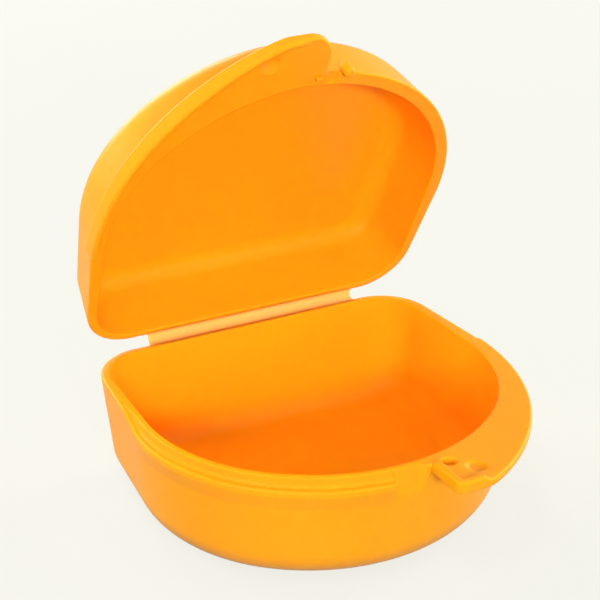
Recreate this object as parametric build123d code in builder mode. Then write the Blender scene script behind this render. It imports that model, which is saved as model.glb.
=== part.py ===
from build123d import *

import os
from math import acos, atan2, cos, hypot, radians, sin, sqrt, tan

# A one-piece moulded case: a deep tray and a shallower lid of the same D-shaped plan, joined at the
# back by a thin strip. Millimetres, +Z up, the tray's front towards -Y, standing on z = 0 with the
# origin under the middle of the plan. The lid is modelled where it stands open. A setback is a
# distance from the back edge towards the front, and an inset is one inwards from the plan's outline.

# Plan of both rims
overall_width = 76.0
back_width = 71.4
shoulder_setback = 28.5
shoulder_radius = 33.5
shoulder_end_angle = 48.6
corner_radius = 10.4

# Tray
tray_height = 23.0
tray_draft = 6.3
tray_rounding = 7.2
wall = 1.4
front_rim = 2.7
floor_thickness = 1.4

# Lid
lid_height = 14.5
lid_draft = 11.0
lid_rounding = 5.6
lid_wall = 1.4
roof_thickness = 1.4

# Hinge: the lid turns about an axis behind the rims
hinge_setback = 1.65
lid_opening = 66.0
seat_gap = 0.25
strip_length = 46.8
strip_offset = 1.0
strip_thickness = 0.4

# Catch ledge round the left of the tray's front, the ramp down to it, and the notch beside its end
flange_setback = 27.5
ledge_drop = 2.0
ledge_width = 1.5
ledge_height = 2.5
ledge_bevel = 0.8
ramp_length = 8.0
notch_left = -4.0
notch_depth = 4.8

# Thumb tabs: crescents that reach past the front, one beside the other when the lid is shut
tab_radius = 47.0
tab_side_reach = 0.6
tray_tab_reach = 12.6
lid_tab_reach = 11.4
tab_end = 3.0
tab_thickness = 1.6
tab_edge_rounding = 0.5
tab_side_gap = 0.6
tray_tab_corner = 3.0
lid_tab_corner = 6.5
dimple_x = 9.7
dimple_setback = 67.4
dimple_sphere_radius = 2.5
dimple_depth = 0.5

# Raised lips: round the end of the tray's tab, and along the outer edge of the lid's
rib_width = 1.4
rib_height = 0.9
rib_length = 6.0
lip_width = 1.3
lip_height = 1.6
lip_clearance = 0.3

# Snap peg on the lid, and its recess in the tray's tab
peg_x = 6.1
peg_offset = 0.8
peg_diameter = 2.3
peg_length = 1.5
peg_root_height = 1.4
peg_tip_rounding = 0.3
peg_clearance = 0.35
peg_end_clearance = 0.3

# Catch tooth at the middle of the lid's front
tooth_x = 0.6
tooth_width = 1.9
tooth_length = 1.6
tooth_face_inset = 0.15
tooth_clearance = 0.3

# Worked out from the sizes above
shoulder_x = overall_width / 2 - shoulder_radius
shoulder_end = radians(shoulder_end_angle)
front_radius = shoulder_radius + shoulder_x / cos(shoulder_end)
front_centre_setback = shoulder_setback - (front_radius - shoulder_radius) * sin(shoulder_end)
plan_depth = front_centre_setback + front_radius
back_y = plan_depth / 2
front_y = back_y - plan_depth
flange_y = back_y - flange_setback
ledge_top = tray_height - ledge_drop
ledge_foot = ledge_top - ledge_height
notch_foot = tray_height - notch_depth
peg_y = back_y - front_centre_setback - sqrt(front_radius**2 - peg_x**2) - peg_offset
tab_centre_offset = tab_radius - overall_width / 2 - tab_side_reach
opening_angle = radians(lid_opening)
hinge_y = back_y + hinge_setback
hinge_z = tray_height + seat_gap / 2
reach = 2 * overall_width

# Both shells grow away from their open rims: the tray downwards, the lid up its tilted axis.
# Seen from above the closed case, the lid's rim plane has the same x and y as the tray's
lid_up = Vector(0, sin(opening_angle), cos(opening_angle))
lid_back = Vector(0, cos(opening_angle), -sin(opening_angle))
lid_origin = Vector(0, hinge_y, hinge_z) - lid_back * hinge_y + lid_up * (seat_gap / 2)
tray_rim = Plane(origin=(0, 0, tray_height), x_dir=(-1, 0, 0), z_dir=(0, 0, -1))
lid_rim = Plane(origin=lid_origin, x_dir=(1, 0, 0), z_dir=lid_up)
lid_mating_face = Plane(origin=lid_origin, x_dir=(-1, 0, 0), z_dir=-lid_up)


def tray_plane(height):
    """The level plane at a height above the ground."""
    return Plane.XY.offset(height)


def plan_face(side_inset=0.0, front_inset=0.0):
    """The D-shaped plan, drawn in by one amount at its back and sides and another at its front."""
    corner = Vector(back_width / 2 - side_inset, back_y - side_inset)
    shoulder = Vector(shoulder_x, back_y - shoulder_setback)
    radius = shoulder_radius - front_inset
    to_corner = corner - shoulder
    distance = hypot(to_corner.X, to_corner.Y)
    side_angle = atan2(to_corner.Y, to_corner.X) - acos(radius / distance)
    middle_angle = (side_angle - shoulder_end) / 2
    side_end = shoulder + Vector(cos(side_angle), sin(side_angle)) * radius
    shoulder_middle = shoulder + Vector(cos(middle_angle), sin(middle_angle)) * radius
    front_start = shoulder + Vector(cos(shoulder_end), -sin(shoulder_end)) * radius
    with BuildSketch() as plan:
        with BuildLine():
            Line((0, corner.Y), corner)
            Line(corner, side_end)
            ThreePointArc(side_end, shoulder_middle, front_start)
            mirror(about=Plane.YZ)
            ThreePointArc(front_start, (0, front_y + front_inset), (-front_start.X, front_start.Y))
        make_face()
        back_corners = plan.vertices().group_by(Axis.Y)[-1].sort_by(Axis.X)
        fillet([back_corners[0], back_corners[-1]], corner_radius - side_inset)
    return plan.sketch


def drafted_block(rim, face, height, draft, rounding, corner):
    """A block that narrows away from the rim plane and is rounded round its far face."""
    narrowing = height * tan(radians(draft))
    with BuildPart() as block:
        with BuildSketch(rim):
            add(face)
        with BuildSketch(rim.offset(height)):
            add(face)
            offset(amount=-narrowing)
        loft(ruled=True)
        far_face = block.faces().sort_by(Axis(rim.origin, rim.z_dir))[-1]
        fillet(far_face.edges(), min(rounding, 0.95 * (corner - narrowing)))
    return block.part


def front_sector(left, right):
    """The part of the plan's surroundings in front of the flanges' start, between two x values."""
    with BuildSketch() as sector:
        with Locations(((left + right) / 2, flange_y - reach / 2)):
            Rectangle(right - left, reach)
    return sector.sketch


def tab_centre(side, reach_in_front):
    """Centre of a crescent's circle, from how far the circle reaches in front of the plan."""
    return (-side * tab_centre_offset, front_y - reach_in_front + tab_radius)


def tab_face(side, reach_in_front, end_x, corner):
    """The crescent on one side of the front, from its start to its rounded inner end."""
    with BuildSketch() as tab:
        with Locations(tab_centre(side, reach_in_front)):
            Circle(tab_radius)
        with Locations((end_x + side * reach / 2, flange_y - reach / 2)):
            Rectangle(reach, reach, mode=Mode.INTERSECT)
        fillet(tab.vertices().sort_by(Axis.Y)[0], corner)
    return tab.sketch


def tab_plate(plane, face):
    """A crescent's plate, with all its edges rounded but the straight one inside the wall."""
    with BuildPart() as plate:
        with BuildSketch(plane):
            add(face)
        extrude(amount=tab_thickness)
        flat_faces = plate.faces().filter_by(Plane(plane.origin, z_dir=plane.z_dir))
        outer_edges = flat_faces.edges().sort_by(Axis(plane.origin, plane.y_dir))[:-2]
        fillet(outer_edges, tab_edge_rounding)
    return plate.part


def dimple(mating_face, side):
    """The ball that presses a shallow dimple into a tab's mating face."""
    with BuildPart() as ball:
        with Locations(mating_face.offset(dimple_sphere_radius - dimple_depth)):
            with Locations((side * dimple_x, back_y - dimple_setback)):
                Sphere(dimple_sphere_radius)
    return ball.part


# Full outer forms of the two shells, which their tabs and catches are trimmed to
tray_block = drafted_block(
    tray_rim, plan_face(), tray_height, tray_draft, tray_rounding, corner_radius
)
lid_block = drafted_block(lid_rim, plan_face(), lid_height, lid_draft, lid_rounding, corner_radius)

# Hollows inside the shells
tray_hollow = drafted_block(
    tray_rim,
    plan_face(wall, front_rim),
    tray_height - floor_thickness,
    tray_draft,
    tray_rounding - floor_thickness,
    corner_radius - wall,
)
lid_hollow = drafted_block(
    lid_rim,
    plan_face(lid_wall, front_rim),
    lid_height - roof_thickness,
    lid_draft,
    lid_rounding - roof_thickness,
    corner_radius - lid_wall,
)

# Inside of the catch ledge, which is the outside of the tray's lip
with BuildPart() as lip_core:
    with BuildSketch(tray_plane(ledge_foot)):
        add(plan_face(0, ledge_width))
    extrude(amount=tray_height - ledge_foot)

# Space taken by the ledge and above it, with the ramp that leads down to it from the rim
with BuildPart() as ledge_seat:
    with BuildSketch(Plane.YZ.offset(notch_left)):
        with BuildLine():
            Polyline(
                (-reach, ledge_foot),
                (flange_y, ledge_foot),
                (flange_y, ledge_top),
                (flange_y + ramp_length, tray_height),
                (-reach, tray_height),
                close=True,
            )
        make_face()
    extrude(amount=-reach)
    add(lip_core.part, mode=Mode.SUBTRACT)

# Notch between the ledge and the tray's tab, which slopes out to the wall at its foot
with BuildPart() as notch_core:
    notch_foot_inset = notch_depth * tan(radians(tray_draft))
    with BuildSketch(tray_plane(notch_foot)):
        add(plan_face(0, notch_foot_inset))
    with BuildSketch(tray_plane(tray_height)):
        add(plan_face(0, ledge_width))
    loft(ruled=True)
with BuildPart() as notch:
    with BuildSketch(tray_plane(notch_foot)):
        add(front_sector(notch_left, tab_end))
    extrude(amount=notch_depth)
    add(notch_core.part, mode=Mode.SUBTRACT)

# Recess for the lid's peg, cut into the tray's tab and the edge of its rim
recess_depth = peg_length - seat_gap + peg_end_clearance
with BuildPart() as peg_recess:
    with BuildSketch(tray_plane(tray_height - recess_depth)):
        with Locations((peg_x, peg_y)):
            Circle(peg_diameter / 2 + peg_clearance)
    extrude(amount=recess_depth + rib_height)

# Tray
with BuildPart() as base_tray:
    add(tray_block)
    add(tray_hollow, mode=Mode.SUBTRACT)
    add(ledge_seat.part, mode=Mode.SUBTRACT)
    add(notch.part, mode=Mode.SUBTRACT)
    add(peg_recess.part, mode=Mode.SUBTRACT)

# Catch ledge: a band whose foot meets the drafted wall
with BuildPart() as base_catch_ledge:
    foot_inset = (tray_height - ledge_foot) * tan(radians(tray_draft))
    with BuildSketch(tray_plane(ledge_foot)):
        add(plan_face(foot_inset, foot_inset))
    with BuildSketch(tray_plane(ledge_foot + ledge_bevel)):
        add(plan_face())
    loft(ruled=True)
    with BuildSketch(tray_plane(ledge_foot + ledge_bevel)):
        add(plan_face())
    extrude(amount=ledge_height - ledge_bevel)
    add(ledge_seat.part, mode=Mode.INTERSECT)

# Tray's thumb tab, with the rib round its inner end
with BuildPart() as base_thumb_tab:
    tray_tab_face = tab_face(1, tray_tab_reach, tab_end, tray_tab_corner)
    add(tab_plate(tray_plane(tray_height - tab_thickness), tray_tab_face))
    with BuildSketch(tray_plane(tray_height - tab_edge_rounding)):
        add(tray_tab_face)
        offset(tray_tab_face, amount=-rib_width, mode=Mode.SUBTRACT)
        add(front_sector(tab_end, tab_end + rib_length), mode=Mode.INTERSECT)
        add(plan_face(-lip_clearance, -lip_clearance), mode=Mode.SUBTRACT)
    extrude(amount=rib_height + tab_edge_rounding)
    add(tray_block, mode=Mode.SUBTRACT)
    add(peg_recess.part, mode=Mode.SUBTRACT)
    add(dimple(tray_plane(tray_height), 1), mode=Mode.SUBTRACT)

# Lid
with BuildPart() as lid_shell:
    add(lid_block)
    add(lid_hollow, mode=Mode.SUBTRACT)

# Lid's thumb tab, whose lip hangs over the ledge outside the tray's lip when the lid is shut
with BuildPart() as lid_thumb_tab:
    lid_tab_end = tab_end - tab_side_gap
    lid_tab_face = tab_face(-1, lid_tab_reach, lid_tab_end, lid_tab_corner)
    add(tab_plate(lid_rim, lid_tab_face))
    with BuildSketch(lid_rim.offset(-lip_height)):
        add(lid_tab_face)
        with Locations(tab_centre(-1, lid_tab_reach)):
            Circle(tab_radius - lip_width, mode=Mode.SUBTRACT)
        add(plan_face(0, ledge_width - lip_clearance), mode=Mode.SUBTRACT)
    extrude(amount=lip_height + tab_edge_rounding)
    add(lid_block, mode=Mode.SUBTRACT)
    add(dimple(lid_mating_face, 1), mode=Mode.SUBTRACT)

# Snap peg, standing on the outside of the lid's rim
with BuildPart() as lid_snap_peg:
    with BuildSketch(lid_rim.offset(-peg_length)):
        with Locations((peg_x, peg_y)):
            Circle(peg_diameter / 2)
    extrude(amount=peg_length + peg_root_height)
    tip = lid_snap_peg.faces().sort_by(Axis(lid_rim.origin, lid_rim.z_dir))[0]
    fillet(tip.edges(), peg_tip_rounding)
    add(lid_block, mode=Mode.SUBTRACT)

# Catch tooth, which drops into the notch in front of the tray's lip
with BuildPart() as lid_catch_tooth:
    tooth_thickness = ledge_width - tooth_clearance - tooth_face_inset
    with BuildSketch(lid_rim.offset(-tooth_length)):
        with Locations((tooth_x, front_y + tooth_face_inset + tooth_thickness / 2)):
            Rectangle(tooth_width, tooth_thickness)
    extrude(amount=tooth_length)

# Hinge strip: an arc that leaves both back edges square to their walls
with BuildPart() as living_hinge:
    strip_drop = (seat_gap + strip_thickness) / 2
    tray_edge = Vector(back_y, hinge_z - strip_drop)
    lid_edge = Vector(
        hinge_y - hinge_setback * cos(opening_angle) + strip_drop * sin(opening_angle),
        hinge_z + hinge_setback * sin(opening_angle) + strip_drop * cos(opening_angle),
    )
    strip_radius = (lid_edge - tray_edge).length / (2 * cos(opening_angle / 2))
    with BuildSketch(Plane.YZ.offset(strip_offset - strip_length / 2)):
        with BuildLine():
            lead_in = Line(tray_edge - Vector(wall / 2, 0), tray_edge)
            bend = JernArc(lead_in @ 1, lead_in % 1, strip_radius, 180 - lid_opening)
            Line(bend @ 1, bend @ 1 + (bend % 1) * (wall / 2))
        trace(line_width=strip_thickness)
    extrude(amount=strip_length)
    add(tray_block, mode=Mode.SUBTRACT)
    add(lid_block, mode=Mode.SUBTRACT)

pieces = {
    "base_tray": base_tray,
    "base_thumb_tab": base_thumb_tab,
    "base_catch_ledge": base_catch_ledge,
    "lid_shell": lid_shell,
    "lid_thumb_tab": lid_thumb_tab,
    "lid_snap_peg": lid_snap_peg,
    "lid_catch_tooth": lid_catch_tooth,
    "living_hinge": living_hinge,
}

os.makedirs("parts", exist_ok=True)
for name, piece in pieces.items():
    piece.part.label = name
    export_step(piece.part, f"parts/{name}.step")
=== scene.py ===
from math import acos, asin, atan2, cos, hypot, pi, radians, sin, sqrt, tan

import bmesh
import bpy
import numpy as np
from mathutils import Matrix, Vector


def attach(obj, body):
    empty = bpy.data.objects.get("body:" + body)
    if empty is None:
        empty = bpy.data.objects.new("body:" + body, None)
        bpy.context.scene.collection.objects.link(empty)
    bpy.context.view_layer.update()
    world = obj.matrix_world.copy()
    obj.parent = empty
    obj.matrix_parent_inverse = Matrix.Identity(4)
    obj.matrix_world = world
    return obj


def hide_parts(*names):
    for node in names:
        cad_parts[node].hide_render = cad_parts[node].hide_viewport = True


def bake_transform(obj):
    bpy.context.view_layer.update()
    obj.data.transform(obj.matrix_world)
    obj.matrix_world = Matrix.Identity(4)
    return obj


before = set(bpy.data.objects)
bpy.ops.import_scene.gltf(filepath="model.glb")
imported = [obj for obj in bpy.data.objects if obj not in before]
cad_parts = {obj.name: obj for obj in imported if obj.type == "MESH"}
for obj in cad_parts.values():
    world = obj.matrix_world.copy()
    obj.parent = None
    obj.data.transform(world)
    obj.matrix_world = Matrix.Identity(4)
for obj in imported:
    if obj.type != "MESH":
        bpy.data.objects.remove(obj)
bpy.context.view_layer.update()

# All sizes are in millimetres, in the part's own frame, until a mesh is made
MM = 0.001

# Plan and shells, as in the part but for the lid's draft, which follows the photo's outline
BACK_WIDTH = 71.4
SHOULDER_X = 4.5
SHOULDER_SETBACK = 28.5
SHOULDER_RADIUS = 33.5
SHOULDER_END = radians(48.6)
CORNER_RADIUS = 10.4
BACK_Y = 31.85
FLANGE_Y = 4.35
TRAY_HEIGHT = 23.0
TRAY_DRAFT = radians(6.3)
TRAY_ROUNDING = 7.2
LID_HEIGHT = 14.5
LID_DRAFT = radians(9.0)
LID_ROUNDING = 5.6
WALL = 1.4
FRONT_RIM = 2.7
LID_OPENING = radians(66.0)
SEAT_GAP = 0.25
HINGE_SETBACK = 1.65
HINGE_Y = BACK_Y + HINGE_SETBACK
HINGE_Z = TRAY_HEIGHT + SEAT_GAP / 2

# Catch ledge, its lip and ramp, and the notch beside it
LEDGE_WIDTH = 1.5
LEDGE_TOP = 21.0
LEDGE_BEVEL_Z = 19.7
LEDGE_FOOT = 17.0
RAMP_LENGTH = 8.0
NOTCH_LEFT = -4.0
NOTCH_FOOT = 18.2
NOTCH_RUNOUT = 2.4
BAND_FOOT = 16.2

# Thumb tabs
TAB_RADIUS = 47.0
TRAY_TAB_CENTRE = (-8.4, 2.55)
LID_TAB_CENTRE = (8.4, 3.75)
TRAY_TAB_END = 3.0
NOTCH_RIGHT = TRAY_TAB_END - 0.04
LID_TAB_END = 2.4
TRAY_TAB_CORNER = 1.6
LID_TAB_CORNER = 5.2
TAB_FRONT_Y = -40.6
TAB_THICKNESS = 1.6
RIB_WIDTH = 1.4
RIB_HEIGHT = 0.9
RIB_FADE_X = (8.2, 9.8)
RIB_FADE_Y = (31.9, 32.6)
LIP_WIDTH = 1.3
LIP_HEIGHT = 1.6
LIP_THINNING_X = (-24, -7)
LIP_FADE_X = (-6.5, -0.5)
LID_EDGE_END = 4.0

# Where a tab grows out of the wall, as shares of the shoulder leg before and after its start
GROWTH_BEFORE = 0.012
GROWTH_AFTER = 0.014

# Roundings, each list in the order of its path's corners. A root is a tab's underside at the wall
RIM_ROUNDING = 0.35
RIM_MIDDLE = 0.45
RIM_STAND = 0.75
TRAY_EDGE_RADII = (0.5, 0.9, 0.55, 0.6, 0.6)
TRAY_TAB_RADII = (0.4, 0.45, 0.5)
LID_EDGE_RADII = (0, 0, RIM_ROUNDING, 0, 0)
LID_TAB_RADII = (0.35, 0.45, 0.55)
ROOT_RADIUS = 0.5
SEGMENTS = 5
ARC_ROWS = 14
TRAY_CROWN = 0.15
LID_CROWN = 0.12
EDGE_DEPTH = 6.0

# What counts as nothing: a length, and in metres the size of a sliver that a cut leaves
TINY = 1e-6
SLIVER = 5e-6

# Catch: the peg and its recess, the dimple in each tab, the gap for the rib, and the tooth
PEG = (6.35, -32.15)
DIMPLE = (9.7, -35.55)
RIB_GAP = (3.85, -31.35, 0.0)
TOOTH = (0.6, -BACK_Y + 0.55, -0.2)
RIB_GAP_SIZE = (2.2, 4.1, 1.5)
TOOTH_SIZE = (1.3, 0.8, 1.6)

# Hinge web: it is thinnest in the middle, and flares at both ends of its bend
WEB_LENGTH = 46.8
WEB_OFFSET = 1.0
WEB_THICKNESS = 0.4
WEB_THINNING = 0.35
WEB_FLARE = 0.9
WEB_FLARE_SHARE = 0.3
WEB_ROOT = 0.7

LID_UP = Vector((0, sin(LID_OPENING), cos(LID_OPENING)))
LID_BACK = Vector((0, cos(LID_OPENING), -sin(LID_OPENING)))
LID_ORIGIN = Vector((0, HINGE_Y, HINGE_Z)) - LID_BACK * HINGE_Y + LID_UP * (SEAT_GAP / 2)


def smooth(low, high, value):
    """0 below low, 1 above high, and a soft step between them."""
    t = min(max((value - low) / (high - low), 0.0), 1.0)
    return t * t * (3 - 2 * t)


# The plan outline is walked clockwise from the middle of the back, in nine legs: back, corner,
# side, shoulder, front, and the same legs mirrored. A station is a leg and a share of its length.
BACK, CORNER, SIDE, SHOULDER, FRONT = range(5)


def half_plan_point(leg, t, side_inset, front_inset):
    """A point of the plan's right half, and its outward normal's angle."""
    corner_x, corner_y = BACK_WIDTH / 2 - side_inset, BACK_Y - side_inset
    shoulder_y = BACK_Y - SHOULDER_SETBACK
    radius = SHOULDER_RADIUS - front_inset
    across, along = corner_x - SHOULDER_X, corner_y - shoulder_y
    side_angle = atan2(along, across) - acos(radius / hypot(across, along))
    rounding = CORNER_RADIUS - side_inset
    centre_x = corner_x - rounding * tan((pi / 2 - side_angle) / 2)
    centre_y = corner_y - rounding
    if leg == BACK:
        return t * centre_x, corner_y, pi / 2
    if leg == CORNER:
        angle = pi / 2 + t * (side_angle - pi / 2)
        return centre_x + rounding * cos(angle), centre_y + rounding * sin(angle), angle
    if leg == SIDE:
        start_x = centre_x + rounding * cos(side_angle)
        start_y = centre_y + rounding * sin(side_angle)
        end_x = SHOULDER_X + radius * cos(side_angle)
        end_y = shoulder_y + radius * sin(side_angle)
        return start_x + t * (end_x - start_x), start_y + t * (end_y - start_y), side_angle
    if leg == SHOULDER:
        angle = side_angle - t * (side_angle + SHOULDER_END)
        return SHOULDER_X + radius * cos(angle), shoulder_y + radius * sin(angle), angle
    angle = -SHOULDER_END - t * (pi - 2 * SHOULDER_END)
    front_radius = radius + SHOULDER_X / cos(SHOULDER_END)
    centre_y = shoulder_y + SHOULDER_X * tan(SHOULDER_END)
    return front_radius * cos(angle), centre_y + front_radius * sin(angle), angle


def plan_point(station, side_inset=0.0, front_inset=0.0):
    """A point of the plan outline at a station, and its outward normal."""
    leg, t = station
    if leg <= FRONT:
        x, y, angle = half_plan_point(leg, t, side_inset, front_inset)
        return np.array((x, y)), np.array((cos(angle), sin(angle)))
    x, y, angle = half_plan_point(2 * FRONT - leg, 1 - t, side_inset, front_inset)
    return np.array((-x, y)), np.array((-cos(angle), sin(angle)))


def front_station(x):
    """The station on the front leg whose outer point has this x."""
    front_radius = SHOULDER_RADIUS + SHOULDER_X / cos(SHOULDER_END)
    angle = -acos(x / front_radius)
    return FRONT, (-SHOULDER_END - angle) / (pi - 2 * SHOULDER_END)


def flange_start():
    """The share of the shoulder leg at which the flanges start."""
    across, along = BACK_WIDTH / 2 - SHOULDER_X, SHOULDER_SETBACK
    side_angle = atan2(along, across) - acos(SHOULDER_RADIUS / hypot(across, along))
    start_angle = asin((FLANGE_Y - BACK_Y + SHOULDER_SETBACK) / SHOULDER_RADIUS)
    return (side_angle - start_angle) / (side_angle + SHOULDER_END)


def steps(leg, start, end, count):
    """Even stations on one leg, without the last."""
    return [(leg, start + (end - start) * i / count) for i in range(count)]


def wall_profile(height, draft, rounding, floor, rows):
    """A drafted wall and its rounding, as insets and depths below the rim, down to a floor."""
    depth = height - floor
    centre_depth = depth - rounding
    centre_inset = centre_depth * tan(draft) + rounding / cos(draft)
    wall_end = centre_depth + rounding * sin(draft)
    profile = []
    for i in range(rows):
        d = wall_end * i / rows
        profile.append((d * tan(draft), d))
    for i in range(ARC_ROWS + 1):
        angle = draft + (pi / 2 - draft) * i / ARC_ROWS
        profile.append((centre_inset - rounding * cos(angle), centre_depth + rounding * sin(angle)))
    return profile


def rounded_path(corners, radii):
    """Points along a path through 3D corners, with each inner corner rounded to its radius."""
    corners = [np.array(c, float) for c in corners]
    path = [corners[0]]
    for i in range(1, len(corners) - 1):
        before, here, after = corners[i - 1], corners[i], corners[i + 1]
        to_before, to_after = before - here, after - here
        length_before, length_after = np.linalg.norm(to_before), np.linalg.norm(to_after)
        if min(length_before, length_after) < TINY or radii[i - 1] < TINY:
            path += [here] * (SEGMENTS + 1)
            continue
        to_before, to_after = to_before / length_before, to_after / length_after
        half = acos(min(max(float(to_before @ to_after), -1), 1)) / 2
        if half > pi / 2 - 0.01:
            path += [here] * (SEGMENTS + 1)
            continue
        reach = min(radii[i - 1] / tan(half), 0.48 * length_before, 0.48 * length_after)
        radius = reach * tan(half)
        bisector = to_before + to_after
        centre = here + bisector / np.linalg.norm(bisector) * radius / sin(half)
        start, end = here + to_before * reach - centre, here + to_after * reach - centre
        turn = pi - 2 * half
        for k in range(SEGMENTS + 1):
            share = k / SEGMENTS
            path.append(
                centre
                + start * sin((1 - share) * turn) / sin(turn)
                + end * sin(share * turn) / sin(turn)
            )
    path.append(corners[-1])
    return path


def outline_hit(point, direction, centre):
    """Where a ray from a plan point meets a tab's circle or the straight front that cuts it."""
    offset = point - np.array(centre)
    along = float(offset @ direction)
    to_circle = -along + sqrt(along**2 - float(offset @ offset) + TAB_RADIUS**2)
    if direction[1] > -0.05:
        return point + direction * to_circle
    to_front = (TAB_FRONT_Y - point[1]) / direction[1]
    blend = 0.35
    shorter = (to_circle + to_front - sqrt((to_circle - to_front) ** 2 + blend**2)) / 2
    return point + direction * shorter


def tab_columns(side, centre, end_x, corner, inner_x):
    """Columns round a tab, from the flange's start to its inner end.

    Each is the station on the shell, the point on the tab's outline, its outward normal, and how
    much of a tab there is.
    """
    middle = np.array((end_x + side * corner, TAB_FRONT_Y + corner))
    columns = []

    def mirrored(station):
        return station if side > 0 else (2 * FRONT - station[0], 1 - station[1])

    start = flange_start()

    # Station whose ray meets the start of the rounded corner
    low, high = 0.2, 0.8
    for _ in range(40):
        share = (low + high) / 2
        point, normal = plan_point(mirrored((FRONT, share)))
        reached = outline_hit(point, normal, centre)[0] * side < middle[0] * side
        low, high = (low, share) if reached else (share, high)
    inner_station = front_station(inner_x)
    inner_share = inner_station[1] if side > 0 else 1 - inner_station[1]
    corner_share = 0.003
    ray_end = min(low, inner_share - 2 * corner_share)

    start_stations = [(SHOULDER, start - GROWTH_BEFORE + 0.004 * i) for i in range(9)]
    stations = start_stations + steps(SHOULDER, start + 0.03, 1.0, 34)
    stations += steps(FRONT, 0.0, ray_end - 0.1, 36)
    stations += steps(FRONT, ray_end - 0.1, ray_end, 24)
    for station in stations:
        point, normal = plan_point(mirrored(station))
        hit = outline_hit(point, normal, centre)
        grown = 1.0
        if station[0] == SHOULDER:
            grown = smooth(start - GROWTH_BEFORE, start + GROWTH_AFTER, station[1])
        hit = point + (hit - point) * grown
        outward = (hit - np.array(centre)) / np.linalg.norm(hit - np.array(centre))
        columns.append((mirrored(station), hit, outward, grown))

    # Along the straight front to the corner
    point, normal = plan_point(mirrored((FRONT, ray_end)))
    last_hit = outline_hit(point, normal, centre)
    corner_hit = np.array((middle[0], TAB_FRONT_Y))
    corner_start = ray_end + corner_share
    front_rows = 4
    for i in range(front_rows):
        share = i / front_rows
        station = (FRONT, ray_end + (corner_start - ray_end) * share)
        hit = last_hit + (corner_hit - last_hit) * share
        columns.append((mirrored(station), hit, np.array((0.0, -1.0)), 1.0))

    # Round the corner, while the station goes to where the raised edge's inner side meets the shell
    corner_rows = 14
    for i in range(corner_rows + 1):
        share = i / corner_rows
        angle = -pi / 2 * (1 + side * share)
        outward = np.array((cos(angle), sin(angle)))
        station = (FRONT, corner_start + (inner_share - corner_start) * share)
        columns.append((mirrored(station), middle + outward * corner, outward, 1.0))

    # Along the straight end to the shell
    end_station = front_station(end_x)
    wall_point = plan_point(end_station)[0]
    outward = np.array((-side, 0.0))
    end_rows = 16
    on_end = np.array((end_x, middle[1]))
    for i in range(1, end_rows + 1):
        hit = on_end + (wall_point - on_end) * i / end_rows
        columns.append((inner_station, hit, outward, 1.0))
    closing_rows = 4
    for i in range(1, closing_rows + 1):
        share = i / closing_rows
        t = inner_station[1] + (end_station[1] - inner_station[1]) * share
        columns.append(((FRONT, t), wall_point, outward, 1.0))

    # Normals of the outline that was reached, once all its points are known
    for i in range(len(start_stations), len(stations)):
        station, hit, _, grown = columns[i]
        along = columns[i + 1][1] - columns[i - 1][1]
        outward = side * np.array((-along[1], along[0])) / np.linalg.norm(along)
        columns[i] = (station, hit, outward, grown)
    return columns


def at(plan, z):
    return np.array((plan[0], plan[1], z))


def rim_middle(station, edge):
    """A plan point on the rim's flat top, between its inner edge and the given point."""
    inner = plan_point(station, WALL, FRONT_RIM)[0]
    return edge + (inner - edge) * RIM_MIDDLE


def wall_inset(z, rim_z, draft):
    return abs(rim_z - z) * tan(draft)


def tray_edge(station, lip, seat, proud):
    """The tray's rim edge and upper wall where there is no tab.

    lip is how far the lip stands back above the ledge, seat the ledge's height, and proud how
    much the ledge stands out from the wall.
    """
    point, normal = plan_point(station)

    def corner(inset, z):
        return at(point - normal * inset, z)

    def wall_corner(z, share=1.0):
        return corner(wall_inset(z, TRAY_HEIGHT, TRAY_DRAFT) * share, z)

    lip_point = point - normal * lip
    corners = [
        at(rim_middle(station, lip_point), TRAY_HEIGHT),
        corner(lip, TRAY_HEIGHT),
        corner(lip, seat),
        wall_corner(seat, 1 - proud),
        wall_corner(LEDGE_BEVEL_Z, 1 - proud),
        wall_corner(LEDGE_FOOT),
        wall_corner(BAND_FOOT),
    ]
    return rounded_path(corners, TRAY_EDGE_RADII)


def notch_loop(x):
    """The notch's cross-section at an x: from the lip's foot down a slope to the wall, and round.

    Toward the tab's end it runs out, a little outside the wall.
    """
    point, normal = plan_point(front_station(x))
    share = 1 - smooth(TRAY_TAB_END - NOTCH_RUNOUT, NOTCH_RIGHT, x)
    depth = LEDGE_WIDTH * share - 0.05 * (1 - share)
    slope_foot = wall_inset(NOTCH_FOOT, TRAY_HEIGHT, TRAY_DRAFT) - 0.02 - 0.03 * (1 - share)
    top, outside = TRAY_HEIGHT + 2.0, -2.0
    section = [(depth, top), (depth, TRAY_HEIGHT), (slope_foot, NOTCH_FOOT)]
    section += [(outside, NOTCH_FOOT), (outside, top)]
    return [at(point - normal * inset, z) for inset, z in section]


def root_radius(hit, end_x):
    """The rounding of a tab's far edge and root, smaller where its straight end meets the wall."""
    wall_point = plan_point(front_station(end_x))[0]
    return min(ROOT_RADIUS, 0.6 * float(np.linalg.norm(hit - wall_point)))


def tray_tab_edge(station, hit, outward, grown):
    """The tray's rim, tab and upper wall where there is a tab, with the rib round its inner end."""
    point, normal = plan_point(station)
    rise = RIB_HEIGHT * (1 - smooth(*RIB_FADE_X, hit[0])) * smooth(*RIB_FADE_Y, -hit[1])
    inner = hit - outward * RIB_WIDTH * grown
    low = TRAY_HEIGHT - TAB_THICKNESS
    corners = [
        at(rim_middle(station, point), TRAY_HEIGHT),
        at(inner, TRAY_HEIGHT),
        at(inner, TRAY_HEIGHT + rise),
        at(hit, TRAY_HEIGHT + rise),
        at(hit, low),
        at(point - normal * wall_inset(low, TRAY_HEIGHT, TRAY_DRAFT), low),
        at(point - normal * wall_inset(BAND_FOOT, TRAY_HEIGHT, TRAY_DRAFT), BAND_FOOT),
    ]
    root = root_radius(hit, TRAY_TAB_END)
    return rounded_path(corners, (*TRAY_TAB_RADII, root, root))


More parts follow.
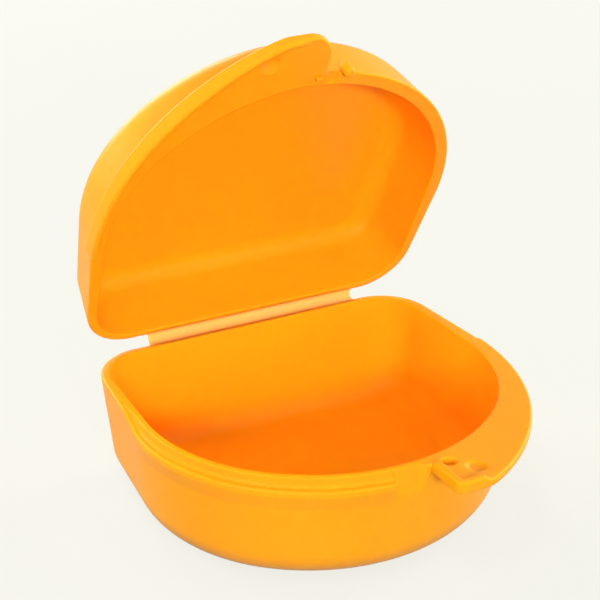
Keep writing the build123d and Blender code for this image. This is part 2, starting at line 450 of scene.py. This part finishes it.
def lid_edge(station):
    """The lid's rim edge and the start of its wall, where there is no tab."""
    point, normal = plan_point(station)
    stand = point - normal * RIM_STAND
    corners = [at(rim_middle(station, stand), 0.0), at(stand, 0.0), at(stand, 0.0), at(point, 0.0)]
    for height in (TAB_THICKNESS, 2.8, LID_EDGE_END):
        corners.append(at(point - normal * height * tan(LID_DRAFT), height))
    return rounded_path(corners, LID_EDGE_RADII)


def lid_tab_edge(station, hit, outward, grown):
    """The lid's mating face, lip and tab, and the start of its wall."""
    point, normal = plan_point(station)
    hang = LIP_HEIGHT * grown
    hang *= (1 - 0.45 * smooth(*LIP_THINNING_X, hit[0])) * (1 - smooth(*LIP_FADE_X, hit[0]))
    inner = hit - outward * LIP_WIDTH * grown
    corners = [
        at(rim_middle(station, point), 0.0),
        at(inner, 0.0),
        at(inner, -hang),
        at(hit, -hang),
        at(hit, TAB_THICKNESS),
        at(point - normal * TAB_THICKNESS * tan(LID_DRAFT), TAB_THICKNESS),
        at(point - normal * LID_EDGE_END * tan(LID_DRAFT), LID_EDGE_END),
    ]
    root = root_radius(hit, LID_TAB_END)
    return rounded_path(corners, (*LID_TAB_RADII, root, root))


def shell_column(station, edge_path, height, draft, rounding, floor, dish, place):
    """All points of a shell at one station, from the inside's middle to the outside's."""

    def ring_point(inset_side, inset_front, depth):
        return at(plan_point(station, inset_side, inset_front)[0], depth)

    shares = (0.12, 0.3, 0.5, 0.7, 0.86, 0.95)

    def disc(inset_side, inset_front, depth):
        """Points across the flat floor or roof, which is very slightly crowned."""
        edge = ring_point(inset_side, inset_front, depth)
        return [
            np.array((edge[0] * s, edge[1] * s, depth - dish * (1 - s * s) ** 2)) for s in shares
        ]

    inside = wall_profile(height, draft, rounding - floor, floor, 8)
    below_rim = [(i, d) for i, d in inside if d > RIM_ROUNDING * 1.5]
    inner_wall = [ring_point(WALL + i, FRONT_RIM + i, d) for i, d in below_rim]
    last_inset, last_depth = inside[-1]
    column = disc(WALL + last_inset, FRONT_RIM + last_inset, last_depth) + inner_wall[::-1]
    for i in range(SEGMENTS + 1):
        angle = pi / 2 * i / SEGMENTS
        inset = RIM_ROUNDING * (cos(angle) - 1 + tan(draft))
        column.append(ring_point(WALL + inset, FRONT_RIM + inset, RIM_ROUNDING * (1 - sin(angle))))
    column = [place(p) for p in column]
    column += edge_path
    outside = wall_profile(height, draft, rounding, 0.0, 12)
    outer_wall = [ring_point(i, i, d) for i, d in outside if d > EDGE_DEPTH]
    outer_disc = disc(outside[-1][0], outside[-1][0], outside[-1][1])[::-1]
    return column + [place(p) for p in outer_wall + outer_disc]


def new_piece(name, bm):
    """A piece from its mesh in bmesh, with the faces turned outwards."""
    mesh = bpy.data.meshes.new(name)
    bmesh.ops.recalc_face_normals(bm, faces=bm.faces)
    bm.to_mesh(mesh)
    bm.free()
    piece = bpy.data.objects.new(name, mesh)
    bpy.context.scene.collection.objects.link(piece)
    return piece


def shell_mesh(name, columns, inner_middle, outer_middle):
    """A closed mesh through the columns, which go once round."""
    bm = bmesh.new()
    grid = [[bm.verts.new(Vector(p) * MM) for p in column] for column in columns]
    middles = [bm.verts.new(Vector(p) * MM) for p in (inner_middle, outer_middle)]
    rows = len(columns[0])
    for i, column in enumerate(grid):
        following = grid[(i + 1) % len(grid)]
        bm.faces.new((middles[0], column[0], following[0]))
        bm.faces.new((middles[1], following[-1], column[-1]))
        for j in range(rows - 1):
            bm.faces.new((column[j], column[j + 1], following[j + 1], following[j]))
    bmesh.ops.remove_doubles(bm, verts=bm.verts, dist=TINY)
    bmesh.ops.dissolve_degenerate(bm, edges=bm.edges, dist=1e-7)
    return new_piece(name, bm)


def lathe(name, profile, place, segments=40):
    """A closed turned form from its profile of radius and height, the ends on its axis."""
    bm = bmesh.new()
    rings = []
    for radius, height in profile[1:-1]:
        ring = []
        for i in range(segments):
            angle = 2 * pi * i / segments
            point = place(np.array((radius * cos(angle), radius * sin(angle), height)))
            ring.append(bm.verts.new(Vector(point) * MM))
        rings.append(ring)
    ends = [bm.verts.new(Vector(place(np.array((0, 0, profile[k][1])))) * MM) for k in (0, -1)]
    for i in range(segments):
        k = (i + 1) % segments
        bm.faces.new((ends[0], rings[0][i], rings[0][k]))
        bm.faces.new((ends[1], rings[-1][k], rings[-1][i]))
        for low, high in zip(rings, rings[1:]):
            bm.faces.new((low[i], high[i], high[k], low[k]))
    return new_piece(name, bm)


def soft_block(name, middle, size, bevel, place):
    """A block with rounded edges."""
    bm = bmesh.new()
    bmesh.ops.create_cube(bm, size=1.0)
    for vertex in bm.verts:
        vertex.co = Vector(m + v * s for m, v, s in zip(middle, vertex.co, size))
    bmesh.ops.bevel(
        bm, geom=list(bm.edges), offset=bevel, segments=4, profile=0.5, affect="EDGES"
    )
    for vertex in bm.verts:
        vertex.co = Vector(place(np.array(vertex.co))) * MM
    return new_piece(name, bm)


def loft(name, loops):
    """A closed form through equal loops of points, with a flat face at each end."""
    bm = bmesh.new()
    rings = [[bm.verts.new(Vector(p) * MM) for p in loop] for loop in loops]
    for first, second in zip(rings, rings[1:]):
        for i in range(len(first)):
            k = (i + 1) % len(first)
            bm.faces.new((first[i], first[k], second[k], second[i]))
    bm.faces.new(rings[0])
    bm.faces.new(rings[-1])
    return new_piece(name, bm)


def combine(piece, tool, operation):
    """Joins a tool to the piece or cuts it out of it, and removes the tool."""
    modifier = piece.modifiers.new("combine", "BOOLEAN")
    modifier.operation = operation
    modifier.object = tool
    modifier.solver = "EXACT"
    apply_modifiers(piece)
    bpy.data.objects.remove(tool)


def apply_modifiers(piece):
    """Replaces the piece's mesh by the one that its modifiers make."""
    depsgraph = bpy.context.evaluated_depsgraph_get()
    mesh = bpy.data.meshes.new_from_object(piece.evaluated_get(depsgraph))
    old = piece.data
    piece.modifiers.clear()
    piece.data = mesh
    mesh.name = piece.name
    bpy.data.meshes.remove(old)


def shade(piece, sharp=42):
    """Smooth shading that keeps flat faces flat and edges above an angle sharp."""
    # The cuts leave a few slivers
    bm = bmesh.new()
    bm.from_mesh(piece.data)
    bmesh.ops.remove_doubles(bm, verts=bm.verts, dist=SLIVER)
    bmesh.ops.dissolve_degenerate(bm, edges=bm.edges, dist=SLIVER)
    bm.to_mesh(piece.data)
    bm.free()
    for polygon in piece.data.polygons:
        polygon.use_smooth = True
    piece.data.set_sharp_from_angle(angle=radians(sharp))
    weighted = piece.modifiers.new("weighted", "WEIGHTED_NORMAL")
    weighted.keep_sharp = True
    weighted.weight = 60
    apply_modifiers(piece)


def lid_place(point):
    """A point of the lid's own plan frame, with its height above the rim, in the part's frame."""
    x, y, up = (float(v) for v in point)
    return np.array(LID_ORIGIN + Vector((1, 0, 0)) * x + LID_BACK * y + LID_UP * up)


def tray_place(point):
    """A point given as plan x and y and depth below the tray's rim."""
    return np.array((point[0], point[1], TRAY_HEIGHT - point[2]))


# Tray
def tray_moulding():
    columns = []
    start = flange_start()

    def add_plain(stations, lip=RIM_STAND, seat=TRAY_HEIGHT, proud=0.0):
        for station in stations:
            columns.append((station, tray_edge(station, lip, seat, proud)))

    add_plain(steps(BACK, 0.0, 1.0, 8) + steps(CORNER, 0.0, 1.0, 16) + steps(SIDE, 0.0, 1.0, 8))
    add_plain(steps(SHOULDER, 0.0, start - GROWTH_BEFORE - 0.002, 3))
    inner_x = TRAY_TAB_END + RIB_WIDTH
    for station, hit, outward, grown in tab_columns(
        1, TRAY_TAB_CENTRE, TRAY_TAB_END, TRAY_TAB_CORNER, inner_x
    ):
        columns.append((station, tray_tab_edge(station, hit, outward, grown)))
    end_share, last = front_station(TRAY_TAB_END)[1], front_station(NOTCH_LEFT)[1]
    add_plain(steps(FRONT, end_share, last, 14) + [(FRONT, last)])
    for station in steps(FRONT, last, 1.0, 52):
        add_plain([station], LEDGE_WIDTH, LEDGE_TOP, 1.0)
    left_shoulder, left_side = 2 * FRONT - SHOULDER, 2 * FRONT - SIDE
    for station in steps(left_shoulder, 0.0, 1.0, 60) + steps(left_side, 0.0, 1.0, 30):
        y = plan_point(station)[0][1]
        climb = smooth(FLANGE_Y - 1.5, FLANGE_Y + RAMP_LENGTH, y)
        seat = min(LEDGE_TOP + (TRAY_HEIGHT - LEDGE_TOP) * climb, TRAY_HEIGHT)
        lip = LEDGE_WIDTH if station[0] == left_shoulder else LEDGE_WIDTH * (1 - station[1])
        add_plain([station], max(lip, RIM_STAND), seat, 1 - smooth(-3.0, 8.0, y))
    add_plain(steps(2 * FRONT - CORNER, 0.0, 1.0, 16) + steps(2 * FRONT - BACK, 0.0, 1.0, 8))
    crown = TRAY_CROWN
    full = [
        shell_column(s, edge, TRAY_HEIGHT, TRAY_DRAFT, TRAY_ROUNDING, WALL, crown, tray_place)
        for s, edge in columns
    ]
    return shell_mesh("tray_moulding", full, (0, 0, WALL + crown), (0, 0, crown))


tray = tray_moulding()
notch_start = NOTCH_LEFT - 0.02
notch_rows = 28
notch_loops = [
    notch_loop(notch_start + (NOTCH_RIGHT - notch_start) * i / notch_rows)
    for i in range(notch_rows + 1)
]
combine(tray, loft("notch", notch_loops), "DIFFERENCE")


def over_tray(plan):
    """Places a turned form over a plan point, its height measured from the tray's rim."""
    return lambda point: point + np.array((*plan, TRAY_HEIGHT))


recess_profile = [(0, -1.5), (0.75, -1.48), (1.05, -1.35), (1.22, -1.1), (1.3, -0.6), (1.38, -0.2)]
recess_profile += [(1.55, 0.0), (1.8, 0.25), (1.8, 2.0), (0, 2.0)]
combine(tray, lathe("recess", recess_profile, over_tray(PEG), 48), "DIFFERENCE")

dimple_profile = [(0, -0.5), (0.9, -0.47), (1.3, -0.37), (1.6, -0.22), (1.85, -0.07)]
dimple_profile += [(2.1, 0.03), (2.1, 0.8), (0, 0.8)]
combine(tray, lathe("dimple", dimple_profile, over_tray(DIMPLE), 64), "DIFFERENCE")
shade(tray)


# Lid
def lid_moulding():
    columns = []

    def add(station, edge):
        columns.append((station, [lid_place(p) for p in edge]))

    stations = steps(BACK, 0.0, 1.0, 8) + steps(CORNER, 0.0, 1.0, 16) + steps(SIDE, 0.0, 1.0, 8)
    stations += steps(SHOULDER, 0.0, 1.0, 40)
    stations += steps(FRONT, 0.0, front_station(LID_TAB_END)[1], 40)
    for station in stations:
        add(station, lid_edge(station))
    tab = tab_columns(-1, LID_TAB_CENTRE, LID_TAB_END, LID_TAB_CORNER, LID_TAB_END - LIP_WIDTH)
    for station, hit, outward, grown in reversed(tab):
        add(station, lid_tab_edge(station, hit, outward, grown))
    left_shoulder = 2 * FRONT - SHOULDER
    after = 1 - flange_start() + GROWTH_BEFORE + 0.004
    stations = steps(left_shoulder, after, 1.0, 3) + steps(2 * FRONT - SIDE, 0.0, 1.0, 8)
    stations += steps(2 * FRONT - CORNER, 0.0, 1.0, 16) + steps(2 * FRONT - BACK, 0.0, 1.0, 8)
    for station in stations:
        add(station, lid_edge(station))

    crown = LID_CROWN
    full = [
        shell_column(s, edge, LID_HEIGHT, LID_DRAFT, LID_ROUNDING, WALL, crown, lid_place)
        for s, edge in columns
    ]
    inner = lid_place((0, 0, LID_HEIGHT - WALL - crown))
    return shell_mesh("lid_moulding", full, inner, lid_place((0, 0, LID_HEIGHT - crown)))


lid = lid_moulding()
peg_profile = [(0, -1.5), (0.5, -1.47), (0.8, -1.34), (0.97, -1.1), (1.03, -0.8)]
peg_profile += [(1.03, 0.7), (0.98, 1.05), (0.8, 1.3), (0.5, 1.4), (0, 1.42)]
peg = lathe("peg", peg_profile, lambda p: lid_place(p + np.array((*PEG, 0))))
combine(lid, peg, "UNION")


def under_lid(point):
    """A point of a profile that points down from the lid's mating face, in the part's frame."""
    return lid_place(np.array((point[0] - DIMPLE[0], point[1] + DIMPLE[1], -point[2])))


combine(lid, lathe("dimple", dimple_profile, under_lid, 64), "DIFFERENCE")
combine(lid, soft_block("rib_gap", RIB_GAP, RIB_GAP_SIZE, 0.6, lid_place), "DIFFERENCE")
combine(lid, soft_block("tooth", TOOTH, TOOTH_SIZE, 0.3, lid_place), "UNION")
shade(lid)


# Hinge web
def hinge_web():
    """A thin bent strip, wider where it runs into the two back walls, and its two end points."""
    drop = SEAT_GAP / 2 + WEB_THICKNESS / 2
    tray_point = np.array((BACK_Y, HINGE_Z - drop))
    lid_point = np.array(
        (
            HINGE_Y - HINGE_SETBACK * cos(LID_OPENING) + drop * sin(LID_OPENING),
            HINGE_Z + HINGE_SETBACK * sin(LID_OPENING) + drop * cos(LID_OPENING),
        )
    )
    turn = pi - LID_OPENING
    radius = np.linalg.norm(lid_point - tray_point) / (2 * cos(LID_OPENING / 2))
    centre = tray_point + np.array((0, radius))
    root_step = WEB_ROOT / 2
    line = [(tray_point + np.array((root_step * i - WEB_ROOT, 0)), 0.0) for i in range(2)]
    rows = 16
    for i in range(rows + 1):
        angle = turn * i / rows
        line.append((centre + radius * np.array((sin(angle), -cos(angle))), angle))
    direction = np.array((cos(turn), sin(turn)))
    line += [(lid_point + direction * root_step * i, turn) for i in (1, 2)]
    bm = bmesh.new()
    across = 48
    thin_edge = 0.35
    loops = []
    for k, (point, angle) in enumerate(line):
        share = (k - 1) / (len(line) - 3)
        near = min(max(min(share, 1 - share), 0.0), 0.5)
        flare = WEB_FLARE * (1 - sqrt(1 - (1 - min(near / WEB_FLARE_SHARE, 1.0)) ** 2))
        normal = np.array((sin(angle), -cos(angle)))
        half = WEB_LENGTH / 2 + flare
        thin = WEB_THICKNESS / 2 * (1 - WEB_THINNING * sin(pi * min(max(share, 0), 1)))
        loop = []
        xs = [WEB_OFFSET - half + 2 * half * i / across for i in range(across + 1)]
        for side in (1, -1):
            ordered = xs if side > 0 else xs[::-1]
            for x in ordered:
                at_end = abs(x - WEB_OFFSET) > half - TINY
                out = thin * side * (thin_edge if at_end else 1.0)
                y, z = point + normal * out
                loop.append(bm.verts.new(Vector((x, y, z)) * MM))
        loops.append(loop)
    count = len(loops[0])
    for first, second in zip(loops, loops[1:]):
        for i in range(count):
            bm.faces.new((first[i], first[(i + 1) % count], second[(i + 1) % count], second[i]))
    for loop in (loops[0], loops[-1]):
        for i in range(across):
            bm.faces.new((loop[i], loop[i + 1], loop[count - 2 - i], loop[count - 1 - i]))
    piece = new_piece("hinge_web", bm)
    for polygon in piece.data.polygons:
        polygon.use_smooth = True
    piece.data.set_sharp_from_angle(angle=radians(50))
    return piece, tray_point, lid_point


web, web_start, web_end = hinge_web()


# Materials
def noise(tree, place, scale, detail, distortion=0.0):
    """A noise texture in the piece's own coordinates."""
    texture = tree.nodes.new("ShaderNodeTexNoise")
    texture.inputs["Scale"].default_value = scale
    texture.inputs["Detail"].default_value = detail
    texture.inputs["Distortion"].default_value = distortion
    tree.links.new(place.outputs["Object"], texture.inputs["Vector"])
    return texture.outputs["Fac"]


def bump(tree, height, strength, distance):
    """A bump node fed by a height."""
    node = tree.nodes.new("ShaderNodeBump")
    node.inputs["Strength"].default_value = strength
    node.inputs["Distance"].default_value = distance
    tree.links.new(height, node.inputs["Height"])
    return node


def moulded_plastic(name, color, second, roughness, translucent):
    """Semi-gloss polypropylene: faint flow marks, fine surface grain, and light that soaks in."""
    material = bpy.data.materials.new(name)
    material.use_nodes = True
    tree = material.node_tree
    links = tree.links
    shader = tree.nodes["Principled BSDF"]
    place = tree.nodes.new("ShaderNodeTexCoord")

    ramp = tree.nodes.new("ShaderNodeValToRGB")
    for element, position, shade_color in zip(
        ramp.color_ramp.elements, (0.3, 0.7), (second, color)
    ):
        element.position = position
        element.color = (*shade_color, 1)
    links.new(noise(tree, place, 38.0, 3.0, 0.6), ramp.inputs["Fac"])
    links.new(ramp.outputs["Color"], shader.inputs["Base Color"])

    rough = tree.nodes.new("ShaderNodeMapRange")
    rough.inputs["To Min"].default_value = roughness - 0.05
    rough.inputs["To Max"].default_value = roughness + 0.07
    links.new(noise(tree, place, 90.0, 4.0), rough.inputs["Value"])
    links.new(rough.outputs["Result"], shader.inputs["Roughness"])

    fine = bump(tree, noise(tree, place, 2600.0, 2.0), 0.12, 0.00003)
    broad = bump(tree, noise(tree, place, 60.0, 1.0), 0.25, 0.0006)
    links.new(fine.outputs["Normal"], broad.inputs["Normal"])
    links.new(broad.outputs["Normal"], shader.inputs["Normal"])

    shader.inputs["IOR"].default_value = 1.49
    shader.inputs["Specular IOR Level"].default_value = 0.3
    shader.inputs["Subsurface Weight"].default_value = translucent
    shader.inputs["Subsurface Radius"].default_value = (1.0, 0.5, 0.08)
    shader.inputs["Subsurface Scale"].default_value = 0.0025
    return material


shell_plastic = moulded_plastic(
    "shell_plastic", (1.0, 0.38, 0.006), (0.99, 0.365, 0.006), 0.3, 0.35
)
# The web's paler, bluer colour is painted sheen: the glancing reflection of the white surroundings
# on the thin strip, put into its base colour
hinge_plastic_painted_sheen = moulded_plastic("hinge_web", (1.0, 0.48, 0.13), (0.98, 0.46, 0.12), 0.35, 0.3)

tray.data.materials.append(shell_plastic)
lid.data.materials.append(shell_plastic)
web.data.materials.append(hinge_plastic_painted_sheen)

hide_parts("base_tray", "base_thumb_tab", "base_catch_ledge")
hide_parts("lid_shell", "lid_thumb_tab", "lid_snap_peg", "lid_catch_tooth")
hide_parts("living_hinge")
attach(tray, "base")
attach(lid, "lid")
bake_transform(web)


# Floor: nearly all of it glows, the rest takes the light
FLOOR_COLOR = (0.93, 0.93, 0.86, 1)
FLOOR_GLOW = 0.95
GLOWING_SHARE = 0.9


def pale_floor():
    """A floor that the camera sees evenly pale, and that the light passes from below."""
    mesh = bpy.data.meshes.new("floor")
    half = 3.0
    corners = [(-half, -half, 0), (half, -half, 0), (half, half, 0), (-half, half, 0)]
    mesh.from_pydata(corners, [], [(0, 1, 2, 3)])
    floor = bpy.data.objects.new("floor", mesh)
    bpy.context.scene.collection.objects.link(floor)

    material = bpy.data.materials.new("floor")
    material.use_nodes = True
    nodes, links = material.node_tree.nodes, material.node_tree.links
    diffuse = nodes["Principled BSDF"]
    diffuse.inputs["Base Color"].default_value = FLOOR_COLOR
    diffuse.inputs["Roughness"].default_value = 0.9
    diffuse.inputs["Specular IOR Level"].default_value = 0.0
    glow = nodes.new("ShaderNodeEmission")
    glow.inputs["Color"].default_value = FLOOR_COLOR
    glow.inputs["Strength"].default_value = FLOOR_GLOW
    mix = nodes.new("ShaderNodeMixShader")
    mix.inputs["Fac"].default_value = GLOWING_SHARE
    links.new(diffuse.outputs["BSDF"], mix.inputs[1])
    links.new(glow.outputs["Emission"], mix.inputs[2])
    links.new(mix.outputs["Shader"], nodes["Material Output"].inputs["Surface"])
    mesh.materials.append(material)

    floor.visible_diffuse = False
    floor.visible_shadow = False
    floor.visible_glossy = False


pale_floor()


# Lights: name, azimuth from the front to the right, elevation, size and power
COLOR_LIGHTS = (
    ("key", -10, 18, 0.12, 3.6),
    ("key_low", -24, 15, 0.12, 1.1),
    ("key_high", -24, 22, 0.12, 1.6),
    ("front_low", -24, 10, 0.35, 0.5),
    ("left_front", -60, 10, 0.35, 1.2),
    ("front_right", 15, 10, 0.35, 0.4),
    ("left_low", -100, 10, 0.35, 1.6),
    ("left_high", -100, 40, 0.35, 0.3),
    ("left_top", -60, 65, 0.35, 2.2),
    ("left_back", -150, 10, 0.35, 8.0),
    ("right_low", 100, 10, 0.35, 9.5),
    ("right_front", 60, 10, 0.35, 1.6),
    ("right_top", 60, 65, 0.35, 0.8),
    ("back_low", 180, 10, 0.35, 2.5),
    ("back_high", 180, 40, 0.35, 2.7),
    # What a white table throws back up
    ("bounce", -25, -45, 0.6, 0.5),
)
SHEEN_LIGHTS = (
    ("left_sheen", -150, 28, 0.6, 0.5),
    ("right_sheen", 100, 20, 0.6, 2.0),
    ("back_sheen", 180, 18, 0.6, 2.2),
)
LIGHT_TARGET = Vector((0.0, 0.0, 0.03))
LIGHT_DISTANCE = 0.9


def area_light(name, azimuth, elevation, size, power, sheen):
    """A soft light aimed at the case, either for its colour or only for the sheen on it."""
    data = bpy.data.lights.new(name, "AREA")
    data.shape = "DISK"
    data.size = size
    data.energy = power
    light = bpy.data.objects.new(name, data)
    azimuth, elevation = radians(azimuth), radians(elevation)
    level = LIGHT_DISTANCE * cos(elevation)
    reach = Vector((level * sin(azimuth), -level * cos(azimuth), LIGHT_DISTANCE * sin(elevation)))
    light.location = LIGHT_TARGET + reach
    light.rotation_euler = (-reach).to_track_quat("-Z", "Y").to_euler()
    light.visible_diffuse = not sheen
    light.visible_glossy = sheen
    bpy.context.scene.collection.objects.link(light)


for light_row in COLOR_LIGHTS:
    area_light(*light_row, sheen=False)
for light_row in SHEEN_LIGHTS:
    area_light(*light_row, sheen=True)


# World: dim as a light, brighter in the plastic's sheen, and as pale as the floor to the camera
SKY_COLOR = (0.95, 0.95, 0.92, 1)
SKY_STRENGTH = 0.08
SKY_IN_SHEEN = 0.4
SKY_SEEN = 0.97


def studio_world():
    world = bpy.data.worlds.new("studio")
    bpy.context.scene.world = world
    world.use_nodes = True
    nodes, links = world.node_tree.nodes, world.node_tree.links
    rays = nodes.new("ShaderNodeLightPath")
    strength = nodes.new("ShaderNodeMath")
    strength.operation = "MULTIPLY_ADD"
    strength.inputs[1].default_value = SKY_IN_SHEEN
    strength.inputs[2].default_value = SKY_STRENGTH
    sky = nodes["Background"]
    backdrop = nodes.new("ShaderNodeBackground")
    backdrop.inputs["Strength"].default_value = SKY_SEEN
    for background in (sky, backdrop):
        background.inputs["Color"].default_value = SKY_COLOR
    seen = nodes.new("ShaderNodeMixShader")
    links.new(rays.outputs["Is Glossy Ray"], strength.inputs[0])
    links.new(strength.outputs["Value"], sky.inputs["Strength"])
    links.new(rays.outputs["Is Camera Ray"], seen.inputs["Fac"])
    links.new(sky.outputs["Background"], seen.inputs[1])
    links.new(backdrop.outputs["Background"], seen.inputs[2])
    links.new(seen.outputs["Shader"], nodes["World Output"].inputs["Surface"])


studio_world()


# Camera: the photograph's viewpoint, with the frame's small tilt
CAMERA_AZIMUTH = radians(-29.28)
CAMERA_ELEVATION = radians(25.86)
CAMERA_ROLL = radians(1.13)
CAMERA_DISTANCE = 0.31093
CAMERA_TARGET = Vector((0.00853, 0.02636, 0.02854))
FOCAL_PIXELS = 1519.8
PHOTO_WIDTH = 600
SENSOR_WIDTH = 36.0


def photo_camera():
    level = cos(CAMERA_ELEVATION)
    back = Vector(
        (sin(CAMERA_AZIMUTH) * level, -cos(CAMERA_AZIMUTH) * level, sin(CAMERA_ELEVATION))
    )
    across = Vector((0, 0, 1)).cross(back).normalized()
    upward = back.cross(across)
    right = across * cos(CAMERA_ROLL) + upward * sin(CAMERA_ROLL)
    up = upward * cos(CAMERA_ROLL) - across * sin(CAMERA_ROLL)
    data = bpy.data.cameras.new("camera")
    data.sensor_width = SENSOR_WIDTH
    data.lens = FOCAL_PIXELS / PHOTO_WIDTH * SENSOR_WIDTH
    data.clip_start = 0.01
    camera = bpy.data.objects.new("camera", data)
    place = CAMERA_TARGET + back * CAMERA_DISTANCE
    rows = Matrix((right, up, back)).transposed().to_4x4()
    camera.matrix_world = Matrix.Translation(place) @ rows
    bpy.context.scene.collection.objects.link(camera)
    bpy.context.scene.camera = camera


photo_camera()
bpy.context.scene.view_settings.view_transform = "Standard"

bpy.context.view_layer.update()
